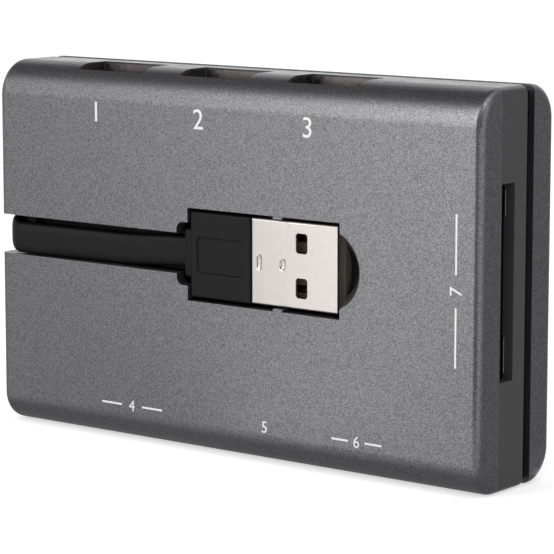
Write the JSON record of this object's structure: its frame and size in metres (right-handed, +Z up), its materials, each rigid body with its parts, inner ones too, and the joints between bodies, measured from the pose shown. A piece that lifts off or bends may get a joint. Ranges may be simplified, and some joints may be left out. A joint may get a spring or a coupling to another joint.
{
  "type": "usb hub card reader",
  "caption": "Flat box-shaped desk hub with ports along its top side, card slots on one end and the lower side, and its own lead and plug stowed in the front face.",
  "frame": {"origin": "centre of the bottom, on the surface it stands on", "axes": "+X along the length to the end with the large card slot, +Y from the front face to the back, +Z up"},
  "size_m": [0.0856, 0.0176, 0.054],
  "materials": {
    "grey_paint": "satin metallic paint, fine texture",
    "smooth_grey": "smooth semi-gloss",
    "black_plastic": "satin",
    "pale_plastic": "satin",
    "black_vinyl": "satin",
    "nickel_plate": "satin plate",
    "steel": "satin",
    "contact_gold": "plated",
    "board_green": "satin",
    "chip_black": "matte",
    "tan_ceramic": "matte",
    "wire_skin": "satin"
  },
  "bodies": {
    "root": {"front_cover": "grey_paint", "back_cover": "grey_paint", "mid_frame": "smooth_grey", "groove_ring": "black_plastic", "lead_tray": "black_plastic", "main_board": "board_green", "board_screws": "steel", "plug_shell": "nickel_plate", "plug_insulator": "pale_plastic", "plug_contacts": "contact_gold", "plug_overmould": "black_vinyl", "lead": "black_vinyl", "lead_stop": "black_vinyl", "lead_wires": "wire_skin", "hub_chip": "chip_black", "reader_chip": "chip_black", "crystal": "steel", "capacitors": "tan_ceramic", "port_shell_1": "nickel_plate", "port_tongue_1": "black_plastic", "port_contacts_1": "contact_gold", "port_shell_2": "nickel_plate", "port_tongue_2": "black_plastic", "port_contacts_2": "contact_gold", "port_shell_3": "nickel_plate", "port_tongue_3": "black_plastic", "port_contacts_3": "contact_gold", "large_socket_base": "black_plastic", "large_socket_cover": "steel", "large_socket_contacts": "contact_gold", "stick_socket_base": "black_plastic", "stick_socket_cover": "steel", "stick_socket_contacts": "contact_gold", "mini_socket_base": "black_plastic", "mini_socket_cover": "steel", "mini_socket_contacts": "contact_gold", "micro_socket_base": "black_plastic", "micro_socket_cover": "steel", "micro_socket_contacts": "contact_gold"}
  },
  "joints": []
}
